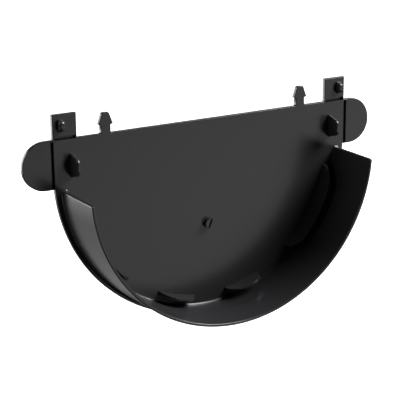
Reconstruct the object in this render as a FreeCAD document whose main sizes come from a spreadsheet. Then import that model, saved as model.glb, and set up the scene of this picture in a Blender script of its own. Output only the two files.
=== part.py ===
import FreeCAD, Part
import math
import os
import Sketcher

# Half-round gutter end cap, moulded in one piece of rigid plastic.
# Frame: millimetres, +Z up, +X along the plate, the collar opens towards -Y.
# Origin: on the axis of the half-round, at the plate face that the gutter's end butts against.
# One half is modelled at +X and mirrored in the YZ plane; the gate stub is added last.

doc = FreeCAD.newDocument("gutter_end_cap")
sheet = doc.addObject("Spreadsheet::Sheet", "sheet")

# Driving dimensions, lengths in millimetres and angles in degrees
DIMENSIONS = {
    # the gutter that the cap closes
    "gutter_diameter": "125",
    "gutter_wall": "1.5",
    # collar round the outside of the gutter
    "socket_clearance": "0.55",
    "collar_root_wall": "2.0",
    "collar_edge_wall": "1.2",
    "collar_depth": "24.8",
    "collar_end_drop": "5.4",
    "collar_corner_round": "1.0",
    "collar_rim_round": "0.4",
    "root_fillet": "1.0",
    # closing plate
    "plate_thickness": "2.0",
    "plate_side_margin": "2.7",
    "plate_bottom_margin": "1.65",
    "plate_top_rise": "15.0",
    "edge_break": "0.3",
    # break-off ears over the gutter's beads
    "ear_radius": "9.65",
    "ear_straight": "3.3",
    "score_width": "0.9",
    "score_web": "0.7",
    "score_end_gap": "0.5",
    # square lugs on the top edge
    "lug_width": "10.1",
    "lug_height": "9.75",
    # arrow-shaped snap barbs on the top edge
    "barb_inset": "22.5",
    "barb_stem_width": "4.2",
    "barb_stem_height": "3.1",
    "barb_head_width": "6.3",
    "barb_head_rise": "3.55",
    "barb_tip_width": "3.0",
    "barb_height": "8.1",
    "barb_tip_round": "0.8",
    "barb_foot_round": "0.5",
    # locating ribs inside the gutter's upper walls
    "rib_thickness": "1.5",
    "rib_rise": "4.4",
    "rib_height": "9.5",
    "rib_tip_height": "6.0",
    "rib_depth": "7.3",
    "rib_tip_round": "2.6",
    # small ribs on the lugs
    "lug_rib_inset": "2.9",
    "lug_rib_thickness": "1.6",
    "lug_rib_rise": "5.4",
    "lug_rib_height": "5.0",
    "lug_rib_tip_height": "3.2",
    "lug_rib_depth": "2.9",
    "lug_rib_tip_round": "1.4",
    # grip tabs inside the gutter
    "grip_clearance": "0.8",
    "grip_root_wall": "1.6",
    "grip_tip_wall": "0.8",
    "short_grip_low_angle": "7.4",
    "short_grip_high_angle": "23.8",
    "short_grip_depth": "6.2",
    "short_grip_round": "7.5",
    "long_grip_low_angle": "40.2",
    "long_grip_high_angle": "78.5",
    "long_grip_depth": "7.0",
    "long_grip_low_round": "8.0",
    "long_grip_high_round": "12.0",
    # stub of the moulding gate
    "gate_drop": "28.5",
    "gate_diameter": "4.2",
    "gate_height": "1.8",
    "gate_nick_width": "0.8",
    "gate_nick_depth": "0.7",
    "gate_nick_lean": "22",
}
for row, (alias, number) in enumerate(DIMENSIONS.items(), start=1):
    sheet.set(f"A{row}", alias)
    sheet.set(f"B{row}", number)
    sheet.setAlias(f"B{row}", alias)
doc.recompute()

# Two lengths or volumes closer than this are taken as equal
NEAR = 1e-4

# Sizes and places worked out from the driving dimensions, as expressions
gutter_inner = "(sheet.gutter_diameter / 2 - sheet.gutter_wall)"
collar_inner = "(sheet.gutter_diameter / 2 + sheet.socket_clearance)"
collar_outer = f"({collar_inner} + sheet.collar_root_wall)"
collar_draft = "((sheet.collar_root_wall - sheet.collar_edge_wall) / 2)"
plate_side = f"({collar_outer} + sheet.plate_side_margin)"
plate_centre = "(sheet.plate_side_margin - sheet.plate_bottom_margin)"
plate_top = "sheet.plate_top_rise"
score_depth = "(sheet.plate_thickness - sheet.score_web)"
ear_bottom = f"({plate_top} - 2 * sheet.ear_radius)"
ear_centre = f"({plate_side} + sheet.ear_straight)"
barb_middle = f"({plate_side} - sheet.barb_inset)"
grip_outer = f"({gutter_inner} - sheet.grip_clearance)"
grip_inner = f"({grip_outer} - sheet.grip_root_wall)"
grip_draft = "((sheet.grip_root_wall - sheet.grip_tip_wall) / 2)"
grip_spare = "sheet.grip_root_wall"


def value(expression):
    """Number that an expression of the sheet stands for"""
    return float(sheet.evalExpression(expression))


body = doc.addObject("PartDesign::Body", "end_cap")
body.Label = "end_cap"
planes = {feature.Role: feature for feature in body.Origin.OriginFeatures}


def new_sketch(name, role):
    """Empty sketch on one of the body's origin planes"""
    sketch = body.newObject("Sketcher::SketchObject", name)
    sketch.AttachmentSupport = [(planes[role], "")]
    sketch.MapMode = "FlatFace"
    return sketch


def hold(sketch, kind, edge, position, expression):
    """Keep one coordinate of a sketch point at an expression"""
    constraint = Sketcher.Constraint(kind, -1, 1, edge, position, value(expression))
    index = sketch.addConstraint(constraint)
    sketch.setExpression(f"Constraints[{index}]", expression)


def outline(sketch, points, centres=None):
    """Closed outline through points, which are pairs of expressions.
    An edge that centres names is an arc round that point, and the others are straight."""
    centres = centres or {}
    corners = [FreeCAD.Vector(value(across), value(up), 0) for across, up in points]
    ends = []
    for edge, corner in enumerate(corners):
        following = corners[(edge + 1) % len(corners)]
        if edge not in centres:
            sketch.addGeometry(Part.LineSegment(corner, following), False)
            ends.append((1, 2))
            continue
        middle = FreeCAD.Vector(value(centres[edge][0]), value(centres[edge][1]), 0)
        clockwise = (following - corner).cross(middle - corner).z < 0
        first, last = (following, corner) if clockwise else (corner, following)
        start = math.atan2(first.y - middle.y, first.x - middle.x)
        stop = math.atan2(last.y - middle.y, last.x - middle.x)
        circle = Part.Circle(middle, FreeCAD.Vector(0, 0, 1), (corner - middle).Length)
        sketch.addGeometry(Part.ArcOfCircle(circle, start, stop), False)
        ends.append((2, 1) if clockwise else (1, 2))
    for edge, (across, up) in enumerate(points):
        following = (edge + 1) % len(points)
        joint = Sketcher.Constraint("Coincident", edge, ends[edge][1], following, ends[following][0])
        sketch.addConstraint(joint)
        hold(sketch, "DistanceX", edge, ends[edge][0], across)
        hold(sketch, "DistanceY", edge, ends[edge][0], up)
    for edge, (across, up) in centres.items():
        chord = corners[(edge + 1) % len(corners)] - corners[edge]
        if abs(chord.y) > abs(chord.x):
            hold(sketch, "DistanceX", edge, 3, across)
        else:
            hold(sketch, "DistanceY", edge, 3, up)


def extrude(kind, sketch, length, side="One side", reverse=False):
    """Pad or pocket of a sketch, which has to add to the solid or take from it"""
    before = body.Tip.Shape.Volume if body.Tip else 0
    feature = body.newObject(f"PartDesign::{kind}", sketch.Name.replace("sketch", kind.lower()))
    feature.Profile = sketch
    feature.SideType = side
    feature.Reversed = reverse
    feature.setExpression("Length", length)
    doc.recompute()
    change = feature.Shape.Volume - before
    gained = change if kind == "Pad" else -change
    if gained < NEAR:
        raise RuntimeError(f"{feature.Name} changes the volume by {change}")
    return feature


def revolve(sketch, angle, symmetric=False, reverse=False):
    """Solid of a section turned about the axis of the half-round"""
    feature = body.newObject("PartDesign::Revolution", sketch.Name.replace("sketch", "revolution"))
    feature.Profile = sketch
    feature.ReferenceAxis = (sketch, ["H_Axis"])
    feature.Midplane = symmetric
    feature.Reversed = reverse
    feature.setExpression("Angle", angle)
    doc.recompute()
    return feature


def dress(kind, name, size, wanted):
    """Fillet or chamfer on the edges of the body so far that the test accepts"""
    base = body.Tip
    names = [f"Edge{index}" for index, edge in enumerate(base.Shape.Edges, start=1) if wanted(edge)]
    feature = body.newObject(f"PartDesign::{kind}", name)
    feature.Base = (base, names)
    feature.setExpression("Radius" if kind == "Fillet" else "Size", size)
    doc.recompute()
    return feature


def spans(edge, axis, low, high):
    """Whether an edge lies between two coordinates along an axis"""
    box = edge.BoundBox
    return getattr(box, axis + "Min") > low - NEAR and getattr(box, axis + "Max") < high + NEAR


def at(edge, axis, place):
    """Whether a whole edge lies at one coordinate along an axis"""
    return spans(edge, axis, place, place)


def crosses(edge):
    """Whether an edge runs straight across a wall, at one depth"""
    return isinstance(edge.Curve, Part.Line) and at(edge, "Y", edge.BoundBox.YMin)


def within(edge, inner, outer):
    """Whether the ends of an edge lie between two radii of the half-round"""
    return all(inner - NEAR < math.hypot(end.X, end.Z) < outer + NEAR for end in edge.Vertexes)


# Closing plate: straight sides over a half-round, padded to the back
plate = new_sketch("plate_sketch", "XZ_Plane")
plate_bottom = f"({plate_centre} - {plate_side})"
plate_points = [("0", plate_bottom), (plate_side, plate_centre), (plate_side, plate_top), ("0", plate_top)]
outline(plate, plate_points, {0: ("0", plate_centre)})
extrude("Pad", plate, "sheet.plate_thickness", reverse=True)

# Ear: a half disc on a short neck, its top level with the plate's
ear = new_sketch("ear_sketch", "XZ_Plane")
ear_middle = f"({plate_top} - sheet.ear_radius)"
ear_points = [
    (collar_outer, ear_bottom),
    (ear_centre, ear_bottom),
    (ear_centre, plate_top),
    (collar_outer, plate_top),
]
outline(ear, ear_points, {1: (ear_centre, ear_middle)})
extrude("Pad", ear, "sheet.plate_thickness", reverse=True)

# Square lug, its outer side in line with the plate's
lug = new_sketch("lug_sketch", "XZ_Plane")
lug_inner = f"({plate_side} - sheet.lug_width)"
lug_foot = f"({plate_top} - sheet.plate_thickness)"
lug_top = f"({plate_top} + sheet.lug_height)"
outline(lug, [(lug_inner, lug_foot), (plate_side, lug_foot), (plate_side, lug_top), (lug_inner, lug_top)])
extrude("Pad", lug, "sheet.plate_thickness", reverse=True)

# Snap barb: a stem with an arrow head that tapers to a rounded tip
barb = new_sketch("barb_sketch", "XZ_Plane")
barb_foot = f"({plate_top} - sheet.plate_thickness)"
barb_levels = [
    (barb_foot, "sheet.barb_stem_width"),
    (f"({plate_top} + sheet.barb_stem_height)", "sheet.barb_stem_width"),
    (f"({plate_top} + sheet.barb_head_rise)", "sheet.barb_head_width"),
    (f"({plate_top} + sheet.barb_height)", "sheet.barb_tip_width"),
]
barb_right = [(f"({barb_middle} + {width} / 2)", level) for level, width in barb_levels]
barb_left = [(f"({barb_middle} - {width} / 2)", level) for level, width in reversed(barb_levels)]
outline(barb, barb_right + barb_left)
extrude("Pad", barb, "sheet.plate_thickness", reverse=True)
barb_top = value(barb_levels[-1][0])
top_edge = value(plate_top)
stem_sides = (value(barb_left[-1][0]), value(barb_right[0][0]))
dress(
    "Fillet",
    "barb_foot_fillet",
    "sheet.barb_foot_round",
    lambda edge: at(edge, "Z", top_edge) and any(at(edge, "X", side) for side in stem_sides),
)
dress(
    "Fillet",
    "barb_tip_fillet",
    "sheet.barb_tip_round",
    lambda edge: at(edge, "Z", barb_top) and at(edge, "X", edge.BoundBox.XMin),
)

# Broken edges all round the flat outline, front and back, but not on the mirror plane
thickness = value("sheet.plate_thickness")
dress(
    "Chamfer",
    "outline_chamfer",
    "sheet.edge_break",
    lambda edge: (at(edge, "Y", 0) or at(edge, "Y", thickness)) and not at(edge, "X", 0),
)

# Collar: a wall that thins towards its front edge, turned about the axis of the half-round
collar = new_sketch("collar_sketch", "YZ_Plane")
collar_points = [
    ("0", f"-{collar_outer}"),
    ("0", f"-{collar_inner}"),
    ("-sheet.collar_depth", f"-({collar_inner} + {collar_draft})"),
    ("-sheet.collar_depth", f"-({collar_outer} - {collar_draft})"),
]
outline(collar, collar_points)
revolve(collar, f"90 deg - asin(sheet.collar_end_drop / {collar_outer})", reverse=True)

# Rounded front corner at the collar's end
collar_front = value("-sheet.collar_depth")
dress(
    "Fillet",
    "collar_corner_fillet",
    "sheet.collar_corner_round",
    lambda edge: at(edge, "Y", collar_front) and crosses(edge) and not at(edge, "X", 0),
)

# Soft rim along the collar's end and front edge
dress(
    "Fillet",
    "collar_rim_fillet",
    "sheet.collar_rim_round",
    lambda edge: edge.BoundBox.YMin < -NEAR and not crosses(edge) and not at(edge, "X", 0),
)

# Fillet all round the collar's foot on the plate
collar_faces = (value(collar_inner), value(collar_outer))
dress(
    "Fillet",
    "root_fillet",
    "sheet.root_fillet",
    lambda edge: at(edge, "Y", 0) and not at(edge, "X", 0) and within(edge, *collar_faces),
)


def grip_end(name, angle, side, depth, end_round):
    """Round one end of a grip tab down to the plate; side is the way past the end, 1 up or -1 down"""
    trim = new_sketch(f"{name}_sketch", "XY_Plane")
    turn = FreeCAD.Rotation(FreeCAD.Vector(0, -1, 0), value(angle))
    start = f"({grip_outer} + sheet.grip_clearance)"
    trim.AttachmentOffset = FreeCAD.Placement(turn.multVec(FreeCAD.Vector(0, 0, -value(start))), turn)
    trim.setExpression("AttachmentOffset.Base.x", f"{start} * sin({angle} * 1 deg)")
    trim.setExpression("AttachmentOffset.Base.z", f"-{start} * cos({angle} * 1 deg)")
    trim.setExpression("AttachmentOffset.Rotation.Angle", angle)
    flat = f"({-side} * sqrt(2 * {end_round} * {depth} - {depth} ^ 2))"
    past = f"({side} * 2 * {grip_spare})"
    beyond = f"-({depth} + {grip_spare})"
    points = [("0", "0"), (flat, f"-{depth}"), (flat, beyond), (past, beyond), (past, "0")]
    outline(trim, points, {0: (flat, f"({end_round} - {depth})")})
    extrude("Pocket", trim, f"4 * {grip_spare}", reverse=True)


def grip(name, low_round, high_round):
    """Tab concentric with the collar, thinner towards its tip, with ends rounded down to the plate"""
    low = f"sheet.{name}_low_angle"
    high = f"sheet.{name}_high_angle"
    depth = f"sheet.{name}_depth"
    middle = f"(({low} + {high}) / 2)"
    section = new_sketch(f"{name}_sketch", "YZ_Plane")
    turn = FreeCAD.Rotation(FreeCAD.Vector(-1, 0, 0), value(middle))
    section.AttachmentOffset = FreeCAD.Placement(FreeCAD.Vector(0, 0, 0), turn)
    section.setExpression("AttachmentOffset.Rotation.Angle", middle)
    points = [
        ("0", f"-{grip_outer}"),
        ("0", f"-{grip_inner}"),
        (f"-{depth}", f"-({grip_inner} + {grip_draft})"),
        (f"-{depth}", f"-({grip_outer} - {grip_draft})"),
    ]
    outline(section, points)
    revolve(section, f"({high} - {low}) * 1 deg + 2 * asin({grip_spare} / {grip_outer})", symmetric=True)
    grip_end(f"{name}_low_end", low, -1, depth, low_round)
    grip_end(f"{name}_high_end", high, 1, depth, high_round)


grip("short_grip", "sheet.short_grip_round", "sheet.short_grip_round")
grip("long_grip", "sheet.long_grip_low_round", "sheet.long_grip_high_round")


def score(name, low, high):
    """Groove cut into the front face between two opposite corners, leaving a thin web behind it"""
    groove = new_sketch(f"{name}_sketch", "XZ_Plane")
    outline(groove, [low, (high[0], low[1]), high, (low[0], high[1])])
    extrude("Pocket", groove, score_depth)


score(
    "ear_score",
    (plate_side, f"({ear_bottom} + sheet.score_end_gap)"),
    (f"({plate_side} + sheet.score_width)", f"({plate_top} - sheet.score_end_gap)"),
)
score(
    "lug_score",
    (f"({lug_inner} + sheet.score_end_gap)", plate_top),
    (f"({plate_side} - sheet.score_end_gap)", f"({plate_top} + sheet.score_width)"),
)


def rib(name, across, rise):
    """Upright rib that stands out from the plate and narrows to a rounded tip"""
    thickness = f"sheet.{name}_thickness"
    height = f"sheet.{name}_height"
    tip_height = f"sheet.{name}_tip_height"
    depth = f"sheet.{name}_depth"
    profile = new_sketch(f"{name}_sketch", "YZ_Plane")
    profile.setExpression("AttachmentOffset.Base.z", across)
    profile_points = [
        ("0", f"({rise} - {height} / 2)"),
        ("0", f"({rise} + {height} / 2)"),
        (f"-{depth}", f"({rise} + {tip_height} / 2)"),
        (f"-{depth}", f"({rise} - {tip_height} / 2)"),
    ]
    outline(profile, profile_points)
    extrude("Pad", profile, thickness, side="Symmetric")
    sides = (value(f"{across} - {thickness} / 2"), value(f"{across} + {thickness} / 2"))
    ends = (value(f"{rise} - {height} / 2"), value(f"{rise} + {height} / 2"))
    tip = value(f"-{depth}")

    def on_rib(edge):
        """Whether an edge belongs to this rib"""
        return spans(edge, "X", *sides) and spans(edge, "Z", *ends)

    dress(
        "Fillet",
        f"{name}_tip_fillet",
        f"sheet.{name}_tip_round",
        lambda edge: on_rib(edge) and at(edge, "Y", tip) and at(edge, "Z", edge.BoundBox.ZMin),
    )
    dress(
        "Chamfer",
        f"{name}_rim_chamfer",
        "sheet.edge_break",
        lambda edge: on_rib(edge) and edge.BoundBox.YMin < tip / 2 and at(edge, "X", edge.BoundBox.XMin),
    )


rib("rib", f"({gutter_inner} - sheet.rib_thickness / 2)", "sheet.rib_rise")
rib("lug_rib", f"({plate_side} - sheet.lug_rib_inset)", f"({plate_top} + sheet.lug_rib_rise)")

# The other half
mirror = body.newObject("PartDesign::Mirrored", "other_half")
mirror.TransformMode = "Whole shape"
mirror.MirrorPlane = (planes["YZ_Plane"], [""])
body.Tip = mirror
doc.recompute()

# Stub where the moulding gate was nipped off, with the nick that this leaves across its end
gate = new_sketch("gate_sketch", "XZ_Plane")
gate_middle = FreeCAD.Vector(0, value("-sheet.gate_drop"), 0)
gate_circle = Part.Circle(gate_middle, FreeCAD.Vector(0, 0, 1), value("sheet.gate_diameter / 2"))
gate.addGeometry(gate_circle, False)
hold(gate, "DistanceX", 0, 3, "0")
hold(gate, "DistanceY", 0, 3, "-sheet.gate_drop")
gate.addConstraint(Sketcher.Constraint("Diameter", 0, value("sheet.gate_diameter")))
gate.setExpression("Constraints[2]", "sheet.gate_diameter")
extrude("Pad", gate, "sheet.gate_height")
nick = new_sketch("nick_sketch", "XZ_Plane")
lean = FreeCAD.Rotation(FreeCAD.Vector(0, 0, -1), value("sheet.gate_nick_lean"))
nick.AttachmentOffset = FreeCAD.Placement(FreeCAD.Vector(0, 0, 0), lean)
nick.setExpression("AttachmentOffset.Rotation.Angle", "sheet.gate_nick_lean")
nick.setExpression("AttachmentOffset.Base.y", "-sheet.gate_drop")
nick.setExpression("AttachmentOffset.Base.z", "sheet.gate_height")
nick_side = "(sheet.gate_nick_width / 2)"
nick_end = "sheet.gate_diameter"
nick_points = [
    (f"-{nick_side}", f"-{nick_end}"),
    (nick_side, f"-{nick_end}"),
    (nick_side, nick_end),
    (f"-{nick_side}", nick_end),
]
outline(nick, nick_points)
extrude("Pocket", nick, "sheet.gate_nick_depth")

doc.recompute()
for item in doc.Objects:
    if "Invalid" in item.State or "Error" in item.State:
        raise RuntimeError(f"{item.Name} failed: {item.State}")
if body.Shape.isNull() or not body.Shape.isValid():
    raise RuntimeError("end_cap has no valid shape")
print("solids", len(body.Shape.Solids), "faces", len(body.Shape.Faces))
print("volume", round(body.Shape.Volume, 1), "box", body.Shape.optimalBoundingBox())

os.makedirs("parts", exist_ok=True)
body.Shape.exportStep("parts/end_cap.step")
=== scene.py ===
# %% [markdown]
# Gutter end cap
#
# A cap that closes the end of a half-round plastic gutter. It is moulded in one shot from rigid PVC,
# coloured through in anthracite grey, so there is one piece and one finish. The solid comes from the
# CAD frame at its real size, in metres. This lesson gives it clean shading, the plastic's surface,
# and the white studio in which such a part is photographed.

# %% Load the frame
import math
import bpy
from mathutils import Matrix, Vector


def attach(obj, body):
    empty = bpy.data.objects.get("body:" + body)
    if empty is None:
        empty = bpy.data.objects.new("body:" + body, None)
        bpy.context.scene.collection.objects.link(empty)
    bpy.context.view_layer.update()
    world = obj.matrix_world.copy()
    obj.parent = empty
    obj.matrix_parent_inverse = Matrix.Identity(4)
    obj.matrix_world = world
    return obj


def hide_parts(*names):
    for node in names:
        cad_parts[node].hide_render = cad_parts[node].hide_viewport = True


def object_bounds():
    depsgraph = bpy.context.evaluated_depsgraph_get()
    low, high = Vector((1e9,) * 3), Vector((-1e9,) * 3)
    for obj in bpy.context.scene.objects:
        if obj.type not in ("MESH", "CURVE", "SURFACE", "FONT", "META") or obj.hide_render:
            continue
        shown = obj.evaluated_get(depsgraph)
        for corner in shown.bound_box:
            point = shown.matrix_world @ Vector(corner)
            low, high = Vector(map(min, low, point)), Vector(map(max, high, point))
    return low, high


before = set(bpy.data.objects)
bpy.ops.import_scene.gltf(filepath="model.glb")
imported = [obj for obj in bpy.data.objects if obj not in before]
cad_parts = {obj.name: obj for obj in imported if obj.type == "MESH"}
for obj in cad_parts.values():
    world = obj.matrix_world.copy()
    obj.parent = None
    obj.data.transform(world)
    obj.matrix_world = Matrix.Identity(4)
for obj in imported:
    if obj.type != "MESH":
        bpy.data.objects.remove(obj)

cad_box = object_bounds()
MM = 0.001
print("CAD box", cad_box)

# %% [markdown]
# Two helpers serve every node tree. Colours are written as sRGB hex values, as a colour picker shows
# them, and Blender's shaders work in linear light, so one function converts them. The other adds a
# node with its settings, its constant inputs and its links.


# %% Colour and node helpers
def linear(hex_colour):
    """Linear RGBA of an sRGB hex colour such as 35363A"""
    levels = [int(hex_colour[i : i + 2], 16) / 255 for i in (0, 2, 4)]
    return [c / 12.92 if c <= 0.04045 else ((c + 0.055) / 1.055) ** 2.4 for c in levels] + [1.0]


def add_node(tree, kind, settings=None, values=None, links=None):
    """Node with its settings, its constant inputs and its linked inputs"""
    node = tree.nodes.new(kind)
    for name, setting in (settings or {}).items():
        setattr(node, name, setting)
    for socket, value in (values or {}).items():
        node.inputs[socket].default_value = value
    for socket, source in (links or {}).items():
        tree.links.new(source, node.inputs[socket])
    return node


print("anthracite in linear light", [round(c, 4) for c in linear("35363A")])

# %% [markdown]
# The camera comes next, because every look is judged through it. The photograph was taken from the
# left and a little above, with a long lens and a slight roll. A camera is easiest to place by its
# direction from the part, its distance and its lens. Its axes go straight into a matrix, with no
# tracking constraint to undo in other views.

# %% Camera
VIEW_AZIMUTH = math.radians(-30.51)
VIEW_ELEVATION = math.radians(16.17)
VIEW_ROLL = math.radians(-0.69)
VIEW_DISTANCE = 554.75 * MM
VIEW_TARGET = Vector((-3.80, 0.0, -18.29)) * MM
LENS_MM = 123.1
SENSOR_MM = 36.0
NEAR_CLIP_MM = 10.0

toward_camera = Vector(
    (
        math.sin(VIEW_AZIMUTH) * math.cos(VIEW_ELEVATION),
        -math.cos(VIEW_AZIMUTH) * math.cos(VIEW_ELEVATION),
        math.sin(VIEW_ELEVATION),
    )
)
level_right = Vector((0, 0, 1)).cross(toward_camera).normalized()
level_up = toward_camera.cross(level_right)
camera_right = level_right * math.cos(VIEW_ROLL) + level_up * math.sin(VIEW_ROLL)
camera_up = level_up * math.cos(VIEW_ROLL) - level_right * math.sin(VIEW_ROLL)
camera_turn = Matrix((camera_right, camera_up, toward_camera)).transposed().to_4x4()
camera_place = VIEW_TARGET + toward_camera * VIEW_DISTANCE

camera_data = bpy.data.cameras.new("photo_camera")
camera_data.lens = LENS_MM
camera_data.sensor_width = SENSOR_MM
camera_data.clip_start = NEAR_CLIP_MM * MM
camera = bpy.data.objects.new("photo_camera", camera_data)
camera.matrix_world = Matrix.Translation(camera_place) @ camera_turn
bpy.context.scene.collection.objects.link(camera)
bpy.context.scene.camera = camera
print("camera at", [round(c / MM, 1) for c in camera_place], "mm")

# %% [markdown]
# The plastic is rigid PVC, moulded in a finely spark-eroded tool and coloured through. The eye gets a
# dark, neutral satin: a soft sheen that brightens at grazing angles, no visible grain from a step
# away, and slow cloudy changes of gloss where the melt cooled at different rates. PVC has an IOR of
# about 1.53. The tool's grain is about 0.1 mm, too fine to show here, so it is drawn at 0.5 mm and
# kept shallow. The gloss is high enough for the plate to mirror the collar and the ribs, as it does in
# the photograph. All of the roughness stays below 0.27, because a range across that value left faint
# outlines of the clouds in the render.

# %% Moulded PVC
PVC_DARK = "323234"
PVC_LIGHT = "373739"
PVC_IOR = 1.53
GLOSSY_ROUGHNESS = 0.22
DULL_ROUGHNESS = 0.265
CLOUD_MM = 24.0
CLOUD_DETAIL = 3.0
CLOUD_ROUGHNESS = 0.5
GRAIN_MM = 0.5
GRAIN_DETAIL = 2.0
GRAIN_ROUGHNESS = 0.6
GRAIN_HEIGHT_MM = 0.012


def moulded_pvc():
    """Satin anthracite PVC with cloudy gloss and a fine moulded grain"""
    material = bpy.data.materials.new("moulded_pvc_anthracite")
    material.use_nodes = True
    tree = material.node_tree
    tree.nodes.clear()
    place = add_node(tree, "ShaderNodeTexCoord").outputs["Object"]
    cloud = add_node(
        tree,
        "ShaderNodeTexNoise",
        values={"Scale": 1 / (CLOUD_MM * MM), "Detail": CLOUD_DETAIL, "Roughness": CLOUD_ROUGHNESS},
        links={"Vector": place},
    ).outputs["Fac"]
    colour = add_node(
        tree,
        "ShaderNodeMix",
        {"data_type": "RGBA"},
        {"A": linear(PVC_DARK), "B": linear(PVC_LIGHT)},
        {"Factor": cloud},
    ).outputs["Result"]
    roughness = add_node(
        tree,
        "ShaderNodeMapRange",
        values={"To Min": GLOSSY_ROUGHNESS, "To Max": DULL_ROUGHNESS},
        links={"Value": cloud},
    ).outputs["Result"]
    grain = add_node(
        tree,
        "ShaderNodeTexNoise",
        values={"Scale": 1 / (GRAIN_MM * MM), "Detail": GRAIN_DETAIL, "Roughness": GRAIN_ROUGHNESS},
        links={"Vector": place},
    ).outputs["Fac"]
    bump = add_node(
        tree,
        "ShaderNodeBump",
        values={"Strength": 1.0, "Distance": GRAIN_HEIGHT_MM * MM},
        links={"Height": grain},
    ).outputs["Normal"]
    surface = add_node(
        tree,
        "ShaderNodeBsdfPrincipled",
        values={"IOR": PVC_IOR},
        links={"Base Color": colour, "Roughness": roughness, "Normal": bump},
    ).outputs["BSDF"]
    add_node(tree, "ShaderNodeOutputMaterial", links={"Surface": surface})
    return material


pvc = moulded_pvc()
print("material", pvc.name, "with", len(pvc.node_tree.nodes), "nodes")

# %% [markdown]
# The CAD solid reaches Blender as loose triangles, each face patch with its own edge points. A moulded
# part has soft, unbroken shading across its fillets and bevels, and a crisp line only where two faces
# meet at a steep angle. A small Geometry Nodes tree makes that a rule: it welds the patches, marks
# the steep edges sharp and smooths all the rest. The weld distance and the steepest soft angle are its
# named inputs.


# %% Node tree that finishes a moulding
def finish_moulding_tree():
    """Weld the patches of a solid and leave only its steep edges sharp"""
    tree = bpy.data.node_groups.new("finish_moulding", "GeometryNodeTree")
    sockets = tree.interface
    sockets.new_socket("Geometry", in_out="INPUT", socket_type="NodeSocketGeometry")
    sockets.new_socket("Weld distance", in_out="INPUT", socket_type="NodeSocketFloat")
    sockets.new_socket("Steepest soft angle", in_out="INPUT", socket_type="NodeSocketFloat")
    sockets.new_socket("Plastic", in_out="INPUT", socket_type="NodeSocketMaterial")
    sockets.new_socket("Geometry", in_out="OUTPUT", socket_type="NodeSocketGeometry")
    given = add_node(tree, "NodeGroupInput").outputs
    welded = add_node(
        tree,
        "GeometryNodeMergeByDistance",
        links={"Geometry": given["Geometry"], "Distance": given["Weld distance"]},
    )
    soft_faces = add_node(
        tree,
        "GeometryNodeSetShadeSmooth",
        {"domain": "FACE"},
        {"Shade Smooth": True},
        {"Geometry": welded.outputs["Geometry"]},
    )
    angle = add_node(tree, "GeometryNodeInputMeshEdgeAngle").outputs["Unsigned Angle"]
    is_soft = add_node(
        tree,
        "FunctionNodeCompare",
        {"data_type": "FLOAT", "operation": "LESS_THAN"},
        links={"A": angle, "B": given["Steepest soft angle"]},
    )
    soft_edges = add_node(
        tree,
        "GeometryNodeSetShadeSmooth",
        {"domain": "EDGE"},
        links={"Geometry": soft_faces.outputs["Geometry"], "Shade Smooth": is_soft.outputs["Result"]},
    )
    whole = add_node(
        tree,
        "GeometryNodeRealizeInstances",
        links={"Geometry": soft_edges.outputs["Geometry"]},
    )
    dressed = add_node(
        tree,
        "GeometryNodeSetMaterial",
        links={"Geometry": whole.outputs["Geometry"], "Material": given["Plastic"]},
    )
    add_node(tree, "NodeGroupOutput", links={"Geometry": dressed.outputs["Geometry"]})
    return tree


moulding_tree = finish_moulding_tree()
print("node tree", moulding_tree.name, "with", len(moulding_tree.nodes), "nodes")

# %% [markdown]
# Ears and lugs are made to be broken off along grooves, which the photograph shows as bold black lines.
# They measure about 1.4 mm there and are narrower in the solid. Only the long sides of the grooves
# move, along the plate, so the front face stays flat and the depth is kept. The points are found by
# the depth of the groove's floor, which no other face of the part shares.


# %% Break-off grooves
GROOVE_FLOOR_MM = 1.3
GROOVE_EXTRA_MM = 0.25
LUG_FOOT_MM = 14.8
TOUCH_MM = 0.01


def widen_groove(mesh, floor, across, along):
    """Move the two long sides of one groove apart, at its floor and at the surface"""
    touch = TOUCH_MM * MM
    low, high = min(p[across] for p in floor), max(p[across] for p in floor)
    start, stop = min(p[along] for p in floor), max(p[along] for p in floor)
    moved = 0
    for point in mesh.vertices:
        in_length = start - touch < point.co[along] < stop + touch
        in_depth = -touch < point.co.y < GROOVE_FLOOR_MM * MM + touch
        if in_length and in_depth and abs(point.co[across] - low) < touch:
            point.co[across] -= GROOVE_EXTRA_MM * MM
            moved += 1
        elif in_length and in_depth and abs(point.co[across] - high) < touch:
            point.co[across] += GROOVE_EXTRA_MM * MM
            moved += 1
    print("groove of", round((high - low) / MM, 2), "mm widened,", moved, "points moved")


def widen_grooves(mesh):
    """Widen the upright grooves of the two ears and the level grooves of the two lugs"""
    floors = [p.co for p in mesh.vertices if abs(p.co.y - GROOVE_FLOOR_MM * MM) < TOUCH_MM * MM]
    for side in (-1, 1):
        here = [p for p in floors if p.x * side > 0]
        widen_groove(mesh, [p for p in here if p.z <= LUG_FOOT_MM * MM], across=0, along=2)
        widen_groove(mesh, [p for p in here if p.z > LUG_FOOT_MM * MM], across=2, along=0)


# %% [markdown]
# In the photograph the two ribs on the plate stand a little lower than in the solid. The small rib on
# each lug is a stout block there, wider from side to side and lower. Each rib shrinks towards the face
# that it stands on, and the inner side of a lug's rib moves towards the middle of the part. The points
# are found by the box that holds one rib. Left and right are treated alike, because the cap is the same
# on both sides.


# %% Ribs
PLATE_RIB_BOX_MM = ((59.0, -7.5, -1.0), (61.5, 0.01, 10.0))
PLATE_RIB_HEIGHT = 0.86
LUG_RIB_BOX_MM = ((64.0, -3.0, 17.8), (65.7, 0.01, 23.0))
LUG_RIB_HEIGHT = 0.8
LUG_RIB_EXTRA_MM = 0.6


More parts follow.
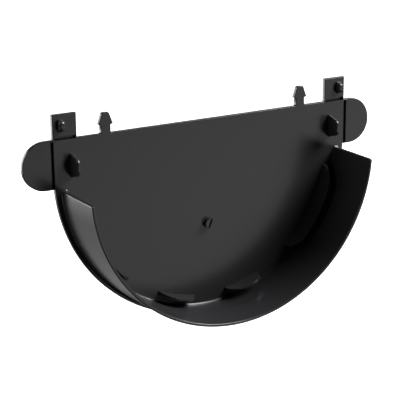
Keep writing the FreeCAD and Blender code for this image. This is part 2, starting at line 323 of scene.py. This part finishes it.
def shape_ribs(mesh, box, height, extra):
    """Scale the height of the left and right rib in a box, and move their inner sides inwards"""
    low, high = box
    moved = 0
    for point in mesh.vertices:
        place = Vector((abs(point.co.x), point.co.y, point.co.z)) / MM
        if all(a < c < b for a, c, b in zip(low, place, high)):
            if place.x < (low[0] + high[0]) / 2:
                point.co.x -= math.copysign(extra * MM, point.co.x)
            point.co.y *= height
            moved += 1
    print("ribs:", moved, "points moved")


# %% [markdown]
# The tree runs on a copy of the CAD mesh, because the frame's own mesh is never changed. Two modifiers
# follow it. Decimate, in its planar mode, joins the triangles of each flat face into one large face.
# Weighted Normal then lets the larger face decide the shading along each soft edge. The plate stays
# flat to its borders, and each narrow bevel shades as the small moulded radius that it stands for. The
# result is baked to a plain mesh, which any other program can read.

# %% The moulded cap
WELD_MM = 0.002
STEEPEST_SOFT_ANGLE = math.radians(50)
FLAT_WITHIN = math.radians(0.05)
LARGE_FACE_WEIGHT = 80


def socket_id(tree, name):
    """Identifier of a tree's named input"""
    return next(s.identifier for s in tree.interface.items_tree if s.name == name and s.in_out == "INPUT")


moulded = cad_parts["end_cap"].data.copy()
widen_grooves(moulded)
shape_ribs(moulded, PLATE_RIB_BOX_MM, PLATE_RIB_HEIGHT, 0)
shape_ribs(moulded, LUG_RIB_BOX_MM, LUG_RIB_HEIGHT, LUG_RIB_EXTRA_MM)
cap = bpy.data.objects.new("moulded_cap", moulded)
bpy.context.scene.collection.objects.link(cap)
finish = cap.modifiers.new("finish_moulding", "NODES")
finish.node_group = moulding_tree
finish[socket_id(moulding_tree, "Weld distance")] = WELD_MM * MM
finish[socket_id(moulding_tree, "Steepest soft angle")] = STEEPEST_SOFT_ANGLE
finish[socket_id(moulding_tree, "Plastic")] = pvc
flat_faces = cap.modifiers.new("join_flat_faces", "DECIMATE")
flat_faces.decimate_type = "DISSOLVE"
flat_faces.angle_limit = FLAT_WITHIN
even_normals = cap.modifiers.new("even_normals", "WEIGHTED_NORMAL")
even_normals.keep_sharp = True
even_normals.weight = LARGE_FACE_WEIGHT
cap_mesh = bpy.data.meshes.new_from_object(cap.evaluated_get(bpy.context.evaluated_depsgraph_get()))
cap.modifiers.clear()
cap.data = cap_mesh
cap_mesh.materials.clear()
cap_mesh.materials.append(pvc)
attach(cap, "root")
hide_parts("end_cap")
print("cap has", len(cap_mesh.vertices), "points and", len(cap_mesh.polygons), "faces")

# %% [markdown]
# The photograph shows the cap cut out on pure white, with no shadow. The floor is a plain white sheet
# below the cap, which in use hangs on a gutter and could not stand by itself. It glows evenly, and it
# is hidden from every ray but the camera's, because a white floor mirrored in the plastic would wash
# out the dark underside of the collar.

# %% Floor
FLOOR_DROP_MM = 85.0
FLOOR_SIDE_MM = 9000.0
FLOOR_COLOUR = "F8F8F8"
FLOOR_GLOW = 1.1
FLOOR_ROUGHNESS = 0.6


def white_sheet():
    """White acrylic sheet with an even glow"""
    material = bpy.data.materials.new("white_acrylic_sheet")
    material.use_nodes = True
    surface = material.node_tree.nodes["Principled BSDF"]
    surface.inputs["Base Color"].default_value = linear(FLOOR_COLOUR)
    surface.inputs["Roughness"].default_value = FLOOR_ROUGHNESS
    surface.inputs["Emission Color"].default_value = linear(FLOOR_COLOUR)
    surface.inputs["Emission Strength"].default_value = FLOOR_GLOW
    return material


floor_level = cad_box[0][2] - FLOOR_DROP_MM * MM
half_side = FLOOR_SIDE_MM * MM / 2
corners = [(x * half_side, y * half_side, floor_level) for x, y in ((-1, -1), (1, -1), (1, 1), (-1, 1))]
floor_mesh = bpy.data.meshes.new("floor")
floor_mesh.from_pydata(corners, [], [(0, 1, 2, 3)])
floor_mesh.materials.append(white_sheet())
floor = bpy.data.objects.new("floor", floor_mesh)
bpy.context.scene.collection.objects.link(floor)
floor.visible_diffuse = False
floor.visible_glossy = False
floor.visible_shadow = False
print("floor at", round(floor_level / MM, 1), "mm")

# %% [markdown]
# The light is that of a small studio, dark on the photographer's side. Dark satin plastic shows what it
# mirrors as much as what falls on it, so each light has a place in the picture. A low white card at
# the front right is what the flat plate mirrors. The main softbox stands high at the front right. It
# is narrow, so the collar throws a shadow with a clear slope on the plate. A rim light behind on the
# left draws the bright left side of the collar and the line on the ear, and a dim card below it keeps
# the collar's underside from going black. Two weak lights, one at the left side and one low at the
# front left, draw the collar's front edge and the left faces of the ribs. A dim card behind on the
# right gives the plate's top edge its light line.

# %% Studio
LIGHT_DISTANCE_MM = 1200.0


def softbox(name, azimuth, elevation, half_across, half_up, radiance):
    """Oval softbox that faces the part, placed and sized by the angles at which the part sees it"""
    data = bpy.data.lights.new(name, "AREA")
    data.shape = "ELLIPSE"
    data.size = 2 * LIGHT_DISTANCE_MM * MM * math.tan(math.radians(half_across))
    data.size_y = 2 * LIGHT_DISTANCE_MM * MM * math.tan(math.radians(half_up))
    data.energy = radiance * math.pi**2 * data.size * data.size_y / 4
    light = bpy.data.objects.new(name, data)
    turn = math.radians(azimuth)
    lift = math.radians(elevation)
    toward = Vector((math.sin(turn) * math.cos(lift), -math.cos(turn) * math.cos(lift), math.sin(lift)))
    light.location = VIEW_TARGET + toward * LIGHT_DISTANCE_MM * MM
    light.rotation_euler = (-toward).to_track_quat("-Z", "Y").to_euler()
    bpy.context.scene.collection.objects.link(light)
    return light


# Name, azimuth, elevation, half width and half height in degrees, radiance. Azimuth 0 is the front.
softboxes = [
    softbox("low_card", 52, -18.5, 37, 14, 0.77),
    softbox("main_softbox", 66, 40, 17, 17, 15.5),
    softbox("rim_softbox", -142, 4, 25, 25, 5.2),
    softbox("left_card", -150, -35, 40, 40, 0.38),
    softbox("side_softbox", -100, 25, 16, 16, 2.6),
    softbox("low_left_card", -60, -23, 25, 12, 0.4),
    softbox("back_card", 150, 16, 28, 14, 0.6),
]
print("lights", [light.name for light in softboxes])

# %% [markdown]
# Behind the floor's far edge the room is white, as the floor is. It lights nothing, like a screen far
# away, because the softboxes alone draw the shapes. The picture is shown with the plain sRGB curve, as
# a shop photograph is.

# %% Room
room = bpy.data.worlds.new("white_room")
room.use_nodes = True
room.node_tree.nodes["Background"].inputs["Color"].default_value = linear(FLOOR_COLOUR)
room.node_tree.nodes["Background"].inputs["Strength"].default_value = FLOOR_GLOW
room.cycles_visibility.diffuse = False
room.cycles_visibility.glossy = False
bpy.context.scene.world = room
bpy.context.scene.view_settings.view_transform = "Standard"
print("room", room.name)
